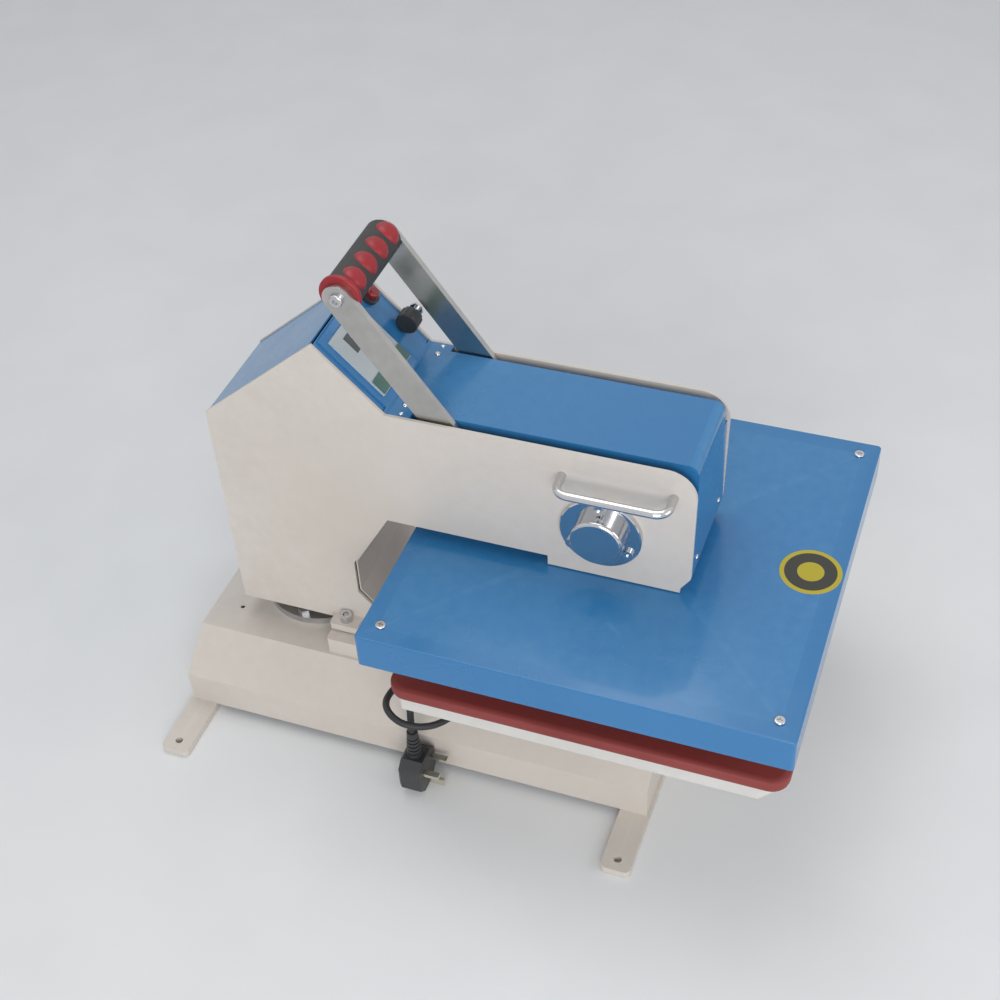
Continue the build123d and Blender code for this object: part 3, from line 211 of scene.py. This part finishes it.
def dress(finish, *nodes):
    # Gives the finish to pieces of the frame, in every slot that they have.
    for node in nodes:
        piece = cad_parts[node]
        if not piece.material_slots:
            piece.data.materials.append(finish)
        for held in piece.material_slots:
            held.link = "OBJECT"
            held.material = finish


cream = surface("cream_powder_coat", colour=(0.64, 0.58, 0.52), shade=(0.60, 0.54, 0.48),
                worn=(0.72, 0.69, 0.65), rough=0.42, grain=700.0, depth=0.00012, coat=0.12)
dress(cream, "base_channel", "foot_bars", "platen_pedestal", "rest_block")

# Studio floor: a wide sheet of pale grey paper, a hair below the press's feet.
# It belongs to the studio and not to the press.
floor_half = 14.0
floor_drop = 0.0004
floor_corners = [(sx * floor_half, sy * floor_half, 0) for sx, sy in ((-1, -1), (1, -1), (1, 1), (-1, 1))]
floor_data = bpy.data.meshes.new("studio_floor")
floor_data.from_pydata(floor_corners, [], [(0, 1, 2, 3)])
studio_floor = bpy.data.objects.new("studio_floor", floor_data)
studio_floor.location = (0, 0, -floor_drop)
scene.collection.objects.link(studio_floor)
floor_paper = surface("studio_paper", colour=(0.80, 0.81, 0.82), shade=(0.78, 0.79, 0.80),
                      worn=(0.80, 0.81, 0.82), rough=0.9, grain=40.0, depth=0.0002)
floor_data.materials.append(floor_paper)

# Mains lead: a black round cable, 7 mm thick, out of a gland in the pedestal. Its spare length is coiled
# on the base in two layers and tied, and the end hangs over the near side to the plug.
cable = surface("black_cable_jacket", colour=(0.018, 0.019, 0.021), shade=(0.028, 0.029, 0.031),
                worn=(0.05, 0.05, 0.052), rough=0.5, grain=1500.0, depth=0.00006)
lead_from_gland = [(-0.020, -0.126, 0.098), (-0.020, -0.104, 0.098), (-0.003, -0.0879, 0.091),
                   (0.015, -0.0879, 0.0836), (0.031, -0.0879, 0.0836)]
lower_layer_z = 0.0836
layer_rise = 0.0079
turns_in = [0.0479, 0.04395, 0.0400, 0.03605, 0.0321]
half_turn_radii = turns_in + [0.02815] + turns_in[::-1]
climbing_turn = len(turns_in)
points_a_half = 8
pull_out = 1 / math.cos(math.pi / points_a_half / 2)
coil_x = 0.038
coil_y = -0.0879
side = 1
coil_points = []
for number, radius in enumerate(half_turn_radii):
    middle = coil_y + side * radius
    for step in range(points_a_half):
        angle = math.pi * (step + 0.5) / points_a_half
        climbed = 0.0 if number < climbing_turn else 1.0
        if number == climbing_turn:
            climbed = (step + 0.5) / points_a_half
        coil_points.append((coil_x + side * radius * pull_out * math.sin(angle),
                            middle - side * radius * pull_out * math.cos(angle),
                            lower_layer_z + layer_rise * climbed))
    coil_y += side * 2 * radius
    side = -side
lead_to_plug = [(0.031, 0.0158, 0.0915), (-0.010, 0.0158, 0.0915), (-0.050, 0.006, 0.090),
                (-0.092, 0.001, 0.094), (-0.132, 0.012, 0.103), (-0.161, 0.012, 0.107),
                (-0.175, -0.013, 0.102), (-0.165, -0.043, 0.098), (-0.136, -0.061, 0.098),
                (-0.104, -0.060, 0.092), (-0.083, -0.043, 0.090), (-0.084, -0.016, 0.095),
                (-0.102, -0.003, 0.110), (-0.136, -0.009, 0.126), (-0.161, -0.017, 0.108),
                (-0.161, -0.017, 0.0785)]
lead_points = lead_from_gland + coil_points + lead_to_plug
lead_curve = bpy.data.curves.new("mains_lead", "CURVE")
lead_curve.dimensions = "3D"
lead_curve.bevel_depth = 0.0035
lead_curve.bevel_resolution = 5
lead_curve.resolution_u = 8
lead_curve.use_fill_caps = True
lead_line = lead_curve.splines.new("NURBS")
lead_line.points.add(len(lead_points) - 1)
for point, place in zip(lead_line.points, lead_points):
    point.co = (*place, 1.0)
lead_line.order_u = 3
lead_line.use_endpoint_u = True
mains_lead = bpy.data.objects.new("mains_lead", lead_curve)
scene.collection.objects.link(mains_lead)
lead_curve.materials.append(cable)
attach(mains_lead, "base")
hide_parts("cord_inlet_run", "cord_coil", "cord_lead_run")

# Plug, gland and tie: black moulded plastic with a fine spark-eroded grain, the pins plated brass.
# The plug is moulded round the lead's end, and the gland screws into the pedestal's wall.
moulding = surface("black_moulded_plastic", colour=(0.022, 0.024, 0.026), shade=(0.033, 0.035, 0.037),
                   worn=(0.07, 0.07, 0.072), rough=0.46, grain=2200.0, depth=0.0001)
dress(moulding, "plug_body", "cord_gland", "cord_tie")
pin_metal = surface("plated_pin_brass", colour=(0.70, 0.68, 0.63), shade=(0.63, 0.61, 0.55),
                    worn=(0.80, 0.74, 0.58), rough=0.28, grain=900.0, depth=0.00004, metallic=1.0)
dress(pin_metal, "plug_pins")

# Swing post: a turned and ground steel post with its lock nut, screwed by its flange to the channel and the
# doubler under it. The base's screws and nuts are of the same bright steel, and the head turns on two
# sintered bronze bushes.
turned_steel = surface("turned_steel", colour=(0.56, 0.56, 0.57), shade=(0.47, 0.47, 0.48),
                       worn=(0.72, 0.72, 0.73), rough=0.32, grain=1600.0, depth=0.00006, metallic=1.0)
dress(turned_steel, "pivot_post", "post_lock_nut", "base_fasteners")
bronze = surface("sintered_bronze", colour=(0.48, 0.31, 0.14), shade=(0.40, 0.25, 0.11),
                 worn=(0.62, 0.44, 0.22), rough=0.45, grain=1800.0, depth=0.0001, metallic=1.0)
dress(bronze, "pivot_bushes")

# Lower platen: a steel plate with cut corners, in a thin white powder coat.
# Screws up through the pedestal's top flange hold it.
white_coat = surface("white_powder_coat", colour=(0.62, 0.60, 0.57), shade=(0.57, 0.55, 0.52),
                     worn=(0.74, 0.73, 0.71), rough=0.4, grain=700.0, depth=0.00012, coat=0.12)
dress(white_coat, "lower_platen")


# Silicone pad: 12 mm of dark red sponge sheet laid on the lower platen, with rounded corners.
# Its skin has a fine print, and its cut edge is a little swollen.
def join_rings(mesh, rings, smooth=True):
    # Bands of faces from each closed ring of points to the next, in order.
    bands = []
    for lower, upper in zip(rings, rings[1:]):
        for i in range(len(lower)):
            j = (i + 1) % len(lower)
            band = mesh.faces.new((lower[i], lower[j], upper[j], upper[i]))
            band.smooth = smooth
            bands.append(band)
    return bands


def piece_from(mesh, name, *finishes):
    # A piece made of the mesh's faces, with its finishes in order.
    data = bpy.data.meshes.new(name)
    mesh.to_mesh(data)
    mesh.free()
    for finish in finishes:
        data.materials.append(finish)
    made = bpy.data.objects.new(name, data)
    scene.collection.objects.link(made)
    return made


red_silicone = surface("red_silicone", colour=(0.27, 0.042, 0.036), shade=(0.21, 0.032, 0.028),
                       worn=(0.30, 0.06, 0.05), rough=0.62, grain=1100.0, depth=0.0003)
sheet_low, sheet_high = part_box("silicone_pad")
sheet_thick = sheet_high.z - sheet_low.z
sheet_corner = 0.018
sheet_swell = 0.0008
sheet_lip = 0.0070
corner_steps = 7
sheet_outline = []
for sx, sy, first in ((1, 1, 0), (-1, 1, 90), (-1, -1, 180), (1, -1, 270)):
    corner_x = (sheet_high.x if sx > 0 else sheet_low.x) - sx * sheet_corner
    corner_y = (sheet_high.y if sy > 0 else sheet_low.y) - sy * sheet_corner
    for step in range(corner_steps + 1):
        angle = math.radians(first + 90 * step / corner_steps)
        sheet_outline.append((corner_x, corner_y, math.cos(angle), math.sin(angle)))
sheet_rows = [(sheet_lip, 0.0), (sheet_swell * 0.9, 0.0002), (sheet_swell * 0.35, 0.0016),
              (0.0, sheet_thick * 0.35), (0.0, sheet_thick * 0.6), (sheet_swell * 0.3, sheet_thick - 0.0016),
              (sheet_swell, sheet_thick - 0.0003), (sheet_lip, sheet_thick)]
sheet = bmesh.new()
sheet_rings = []
for inset, height in sheet_rows:
    reach = sheet_corner - inset
    sheet_rings.append([sheet.verts.new((x + reach * ax, y + reach * ay, sheet_low.z + height))
                        for x, y, ax, ay in sheet_outline])
join_rings(sheet, sheet_rings)
sheet.faces.new(sheet_rings[0][::-1])
sheet.faces.new(sheet_rings[-1])
silicone_sheet = piece_from(sheet, "silicone_sheet", red_silicone)
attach(silicone_sheet, "base")
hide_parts("silicone_pad")

# Head: two laser-cut side plates welded to the swing plate, the column's front wall and the pivot sleeve,
# in the same off-white coat as the base. Inside the arm a bare steel floor plate holds bronze bushes for the
# guide rods, and the side plates hold the cross shaft's.
dress(cream, "swing_plate", "left_side_plate", "right_side_plate", "column_front_wall", "pivot_sleeve")
dress(turned_steel, "arm_floor_plate")
dress(bronze, "guide_bushes", "shaft_bushes")

# Bearing caps and pull handles: turned caps and bent rod handles in polished chrome, screwed to the side
# plates. The head's other screws and the levelling screw have the same plating, with a little haze.
chrome = surface("polished_chrome", colour=(0.62, 0.62, 0.635), shade=(0.55, 0.55, 0.57),
                 worn=(0.82, 0.82, 0.83), rough=0.12, grain=1500.0, depth=0.00003, metallic=1.0)
dress(chrome, "bearing_caps", "pull_handles", "head_fasteners", "levelling_screw")

# Blue sheet covers: rear cover, control panel and arm cover, folded from steel sheet.
# Their gloss blue coat has faint peel and mirrors what stands over it.
blue = surface("gloss_blue_coat", colour=(0.020, 0.180, 0.430), shade=(0.018, 0.170, 0.410),
               worn=(0.09, 0.29, 0.54), rough=0.24, grain=420.0, depth=0.00006, coat=0.35)
dress(blue, "rear_cover", "control_panel", "arm_cover")

# Fold strip: the narrow blue bend that closes the joint between the panel's foot and the arm cover.
# It is folded from the same sheet and coated with it.
fold_sheet = 0.0011
fold_lean = 0.0004
fold_columns = (-0.0569, -0.019, 0.019, 0.0569)
fold_upper = [(0.0203, 0.39292), (0.0229, 0.39298), (0.0245, 0.39372), (0.0256, 0.39470)]
fold_lower = [(y + fold_lean, z - fold_sheet) for y, z in fold_upper[::-1]]
strip = bmesh.new()
strip_rings = [[strip.verts.new((x, y, z)) for y, z in fold_upper + fold_lower] for x in fold_columns]
join_rings(strip, strip_rings, smooth=False)
strip.faces.new(strip_rings[0])
strip.faces.new(strip_rings[-1][::-1])
bmesh.ops.recalc_face_normals(strip, faces=strip.faces)
panel_fold_strip = piece_from(strip, "panel_fold_strip", blue)
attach(panel_fold_strip, "head")

# Controller: a black moulded case through the panel, with a light grey film fascia, a dark window and a
# green key strip. Its window shows three plain seven-segment figures, and its board sits behind.
dress(moulding, "controller_case")
fascia_grey = surface("fascia_film", colour=(0.50, 0.55, 0.57), shade=(0.46, 0.51, 0.53),
                      worn=(0.58, 0.62, 0.64), rough=0.38, grain=1500.0, depth=0.00005)
dress(fascia_grey, "controller_fascia")
window_dark = surface("display_window", colour=(0.030, 0.038, 0.040), shade=(0.045, 0.055, 0.056),
                      worn=(0.06, 0.07, 0.07), rough=0.18, grain=900.0, depth=0.00002, coat=0.4)
dress(window_dark, "display_window")
key_green = surface("key_film", colour=(0.050, 0.115, 0.100), shade=(0.062, 0.135, 0.115),
                    worn=(0.10, 0.20, 0.17), rough=0.4, grain=1300.0, depth=0.00006)
dress(key_green, "key_strip", "control_board")
figure_ink = surface("figure_segments", colour=(0.30, 0.37, 0.36), shade=(0.26, 0.33, 0.32),
                     worn=(0.34, 0.40, 0.39), rough=0.4, grain=1500.0, depth=0.00002)
panel_top = Vector((0.0, 0.089, 0.459))
panel_foot = Vector((0.0, 0.0237, 0.393))
panel_sheet = 0.002
panel_along = (panel_foot - panel_top).normalized()
panel_out = Vector((0.0, panel_along.z, -panel_along.y))
figure_wide = 0.0050
figure_tall = 0.0105
figure_pitch = 0.0085
figure_left = -0.0225
figure_foot = 0.0358
figure_lift = 0.00378
segment_half = 0.0006
lit_segments = {"1": "bc", "8": "abcdefg", "0": "abcdef"}
segment_ends = {"a": (0.0, 1.0, 1.0, 1.0), "g": (0.0, 0.5, 1.0, 0.5), "d": (0.0, 0.0, 1.0, 0.0),
                "f": (0.0, 0.5, 0.0, 1.0), "b": (1.0, 0.5, 1.0, 1.0), "e": (0.0, 0.0, 0.0, 0.5),
                "c": (1.0, 0.0, 1.0, 0.5)}


def on_window(x, down):
    # A point on the window's face, x across and down from the panel's top edge.
    return panel_top + panel_along * down + panel_out * (figure_lift - panel_sheet) + Vector((x, 0, 0))


figures = bmesh.new()
for number, figure in enumerate("180"):
    left = figure_left + number * figure_pitch
    for segment in lit_segments[figure]:
        x0, up0, x1, up1 = segment_ends[segment]
        low_x = left + x0 * figure_wide - segment_half
        high_x = left + x1 * figure_wide + segment_half
        top = figure_foot - up1 * figure_tall - segment_half
        foot = figure_foot - up0 * figure_tall + segment_half
        corners = ((low_x, foot), (high_x, foot), (high_x, top), (low_x, top))
        figures.faces.new([figures.verts.new(on_window(x, down)) for x, down in corners])
display_figures = piece_from(figures, "display_figures", figure_ink)
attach(display_figures, "head")

# Push button: a glossy red moulded cap that is pressed in against its spring.
# It slides in a black moulded bezel, set in a hole through the panel.
red_gloss = surface("red_button_plastic", colour=(0.30, 0.012, 0.016), shade=(0.24, 0.010, 0.014),
                    worn=(0.42, 0.06, 0.06), rough=0.25, grain=1200.0, depth=0.00003, coat=0.3)
dress(red_gloss, "push_button")
dress(moulding, "button_bezel")

# Adjusting knob: a black moulded knob that sets the pressure.
# It turns on a chromed stem over the right of the panel.
dress(moulding, "adjusting_knob")
dress(chrome, "knob_stem")


# Cover screws: small domed cross-head screws that hold the panel's foot and the arm cover's nose.
# Each dome is pressed from steel and chromed like the caps.
def screw_dome(name, centre, out, radius, height):
    stand_up = Vector((0, 0, 1)).rotation_difference(Vector(out)).to_matrix()
    sides = 24
    dome = bmesh.new()
    rings = []
    for share, lift in ((1.0, 0.0), (0.97, 0.35), (0.80, 0.72), (0.50, 0.93), (0.20, 1.0)):
        ring = []
        for i in range(sides):
            angle = 2 * math.pi * i / sides
            notch = 0.72 if share <= 0.5 and i % (sides // 4) == 0 else 1.0
            local = Vector((radius * share * math.cos(angle), radius * share * math.sin(angle),
                            height * lift * notch))
            ring.append(dome.verts.new(Vector(centre) + stand_up @ local))
        rings.append(ring)
    join_rings(dome, rings)
    dome.faces.new(rings[-1])
    screw = piece_from(dome, name, chrome)
    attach(screw, "head")


for side_name, sign in (("left", -1), ("right", 1)):
    screw_dome(side_name + "_panel_foot_screw", (sign * 0.040, 0.0108, 0.3930), (0, 0, 1), 0.0030, 0.0014)
    screw_dome(side_name + "_cover_screw", (sign * 0.0525, 0.0100, 0.3930), (0, 0, 1), 0.0022, 0.0010)
    screw_dome(side_name + "_nose_screw", (sign * 0.040, -0.2670, 0.2790), (0, -1, 0), 0.0030, 0.0014)

# Lever: two cranked flat steel bars in satin chrome, fixed by their hubs to the cross shaft.
# The shaft and the press cam on it are turned and ground steel.
# The bars' colour is set darker than the plating's own, as painted shade for the dark surroundings that they
# mirror.
satin_bar_with_painted_shade = surface("satin_chrome_bar_painted_shade", colour=(0.43, 0.42, 0.405), shade=(0.37, 0.365, 0.35),
                    worn=(0.70, 0.69, 0.67), rough=0.24, grain=1900.0, depth=0.00005, metallic=1.0)
dress(satin_bar_with_painted_shade, "left_lever_bar", "right_lever_bar")
dress(turned_steel, "cross_shaft", "press_cam")

# Grip: a black rubber sleeve with raised red finger pads and a red end flange, on a steel core between
# the bars. The rubber has a fine matt grain, and the pads are polished where fingers rest.
grip_rubber = surface("black_grip_rubber", colour=(0.020, 0.020, 0.021), shade=(0.032, 0.032, 0.033),
                      worn=(0.05, 0.05, 0.05), rough=0.58, grain=1400.0, depth=0.0003)
dress(grip_rubber, "grip_sleeve")
red_rubber = surface("red_grip_rubber", colour=(0.34, 0.014, 0.022), shade=(0.26, 0.012, 0.018),
                     worn=(0.45, 0.05, 0.06), rough=0.42, grain=1400.0, depth=0.0001)
dress(red_rubber, "grip_flange")
dress(turned_steel, "grip_core")
dress(chrome, "grip_screws")
grip_y = 0.0585
grip_z = 0.510
grip_outside = 0.0173
finger_count = 4
finger_first_x = -0.033
finger_pitch = 0.0245
finger_half = 0.0098
finger_spread = 0.80
finger_height = 0.0026
finger_sunk = 0.0008
finger_facing = math.atan2(0.62, -0.55)
finger_sides = 40
fingers = bmesh.new()
for number in range(finger_count):
    middle = finger_first_x + finger_pitch * number
    rings = []
    for share in (1.0, 0.985, 0.95, 0.88, 0.76, 0.6, 0.4, 0.2):
        reach = grip_outside + finger_height * (1 - share ** 4) - (finger_sunk if share == 1.0 else 0.0)
        ring = []
        for i in range(finger_sides):
            angle = 2 * math.pi * i / finger_sides
            around = finger_facing + share * finger_spread * math.sin(angle)
            ring.append(fingers.verts.new((middle + share * finger_half * math.cos(angle),
                                           grip_y + reach * math.cos(around),
                                           grip_z + reach * math.sin(around))))
        rings.append(ring)
    join_rings(fingers, rings)
    fingers.faces.new(rings[-1]).smooth = True
bmesh.ops.recalc_face_normals(fingers, faces=fingers.faces)
grip_finger_pads = piece_from(fingers, "grip_finger_pads", red_rubber)
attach(grip_finger_pads, "lever")
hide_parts("finger_pads")

# Heating platen: a cast aluminium plate with its element and sensor, mineral board over it and a steel
# strong-back, all under the folded blue cover. A steel ram and four guide rods carry it, and chromed
# screws hold the cover's corners.
dress(blue, "platen_cover")
cast_aluminium = surface("cast_aluminium", colour=(0.62, 0.62, 0.63), shade=(0.55, 0.55, 0.56),
                         worn=(0.74, 0.74, 0.75), rough=0.4, grain=1000.0, depth=0.00012, metallic=1.0)
dress(cast_aluminium, "heating_plate")
fibre = surface("mineral_fibre_board", colour=(0.58, 0.55, 0.46), shade=(0.50, 0.47, 0.39),
                worn=(0.64, 0.61, 0.52), rough=0.9, grain=600.0, depth=0.0008)
dress(fibre, "insulation_board")
dress(turned_steel, "heating_element", "temperature_sensor", "strong_back_plate", "press_ram", "guide_rods")
dress(chrome, "platen_fasteners")

# Return springs: four coils of 2 mm spring wire round the guide rods, from their bushes to their collars.
# They close up as the lever presses the platen down.
spring_y = -0.193
spring_spread_x = 0.032
spring_spread_y = 0.045
spring_foot_z = 0.2913
spring_rise = 0.0464
spring_reach = 0.0084
wire_reach = 0.0010
wire_sides = 8
spring_turns = 8
steps_a_turn = 20
spring_steps = spring_turns * steps_a_turn
springs = bmesh.new()
for spring_x in (-spring_spread_x, spring_spread_x):
    for spring_middle in (spring_y - spring_spread_y, spring_y + spring_spread_y):
        rings = []
        for step in range(spring_steps + 1):
            turned = 2 * math.pi * step / steps_a_turn
            height = spring_foot_z + spring_rise * step / spring_steps
            ring = []
            for i in range(wire_sides):
                angle = 2 * math.pi * i / wire_sides
                reach = spring_reach + wire_reach * math.cos(angle)
                ring.append(springs.verts.new((spring_x + reach * math.cos(turned),
                                               spring_middle + reach * math.sin(turned),
                                               height + wire_reach * math.sin(angle))))
            rings.append(ring)
        join_rings(springs, rings)
        springs.faces.new(rings[0])
        springs.faces.new(rings[-1][::-1])
bmesh.ops.recalc_face_normals(springs, faces=springs.faces)
spring_coils = piece_from(springs, "spring_coils", turned_steel)
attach(spring_coils, "head")
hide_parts("return_springs")
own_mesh(spring_coils)

# Round sticker: a thin disc of yellow film with a plain black ring printed on it.
# It is stuck on the front of the platen's cover.
sticker_yellow = surface("sticker_yellow_film", colour=(0.52, 0.42, 0.020), shade=(0.47, 0.38, 0.018),
                         worn=(0.56, 0.47, 0.05), rough=0.4, grain=1500.0, depth=0.00003)
sticker_black = surface("sticker_black_ink", colour=(0.022, 0.021, 0.016), shade=(0.030, 0.028, 0.020),
                        worn=(0.04, 0.04, 0.03), rough=0.42, grain=1500.0, depth=0.00003)
sticker_x = 0.0036
sticker_y = -0.365
sticker_foot_z = 0.24750
sticker_top_z = 0.24766
sticker_sides = 72
sticker_rows = [(0.0290, sticker_foot_z, 0), (0.0288, sticker_top_z, 0), (0.0245, sticker_top_z, 1),
                (0.0125, sticker_top_z, 0)]
sticker = bmesh.new()
sticker_rings = []
for radius, height, ink in sticker_rows:
    ring = []
    for i in range(sticker_sides):
        angle = 2 * math.pi * i / sticker_sides
        ring.append(sticker.verts.new((sticker_x + radius * math.cos(angle),
                                       sticker_y + radius * math.sin(angle), height)))
    sticker_rings.append(ring)
for number, band in enumerate(join_rings(sticker, sticker_rings, smooth=False)):
    band.material_index = sticker_rows[number // sticker_sides][2]
sticker.faces.new(sticker_rings[-1])
round_sticker = piece_from(sticker, "round_sticker", sticker_yellow, sticker_black)
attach(round_sticker, "heat_platen")
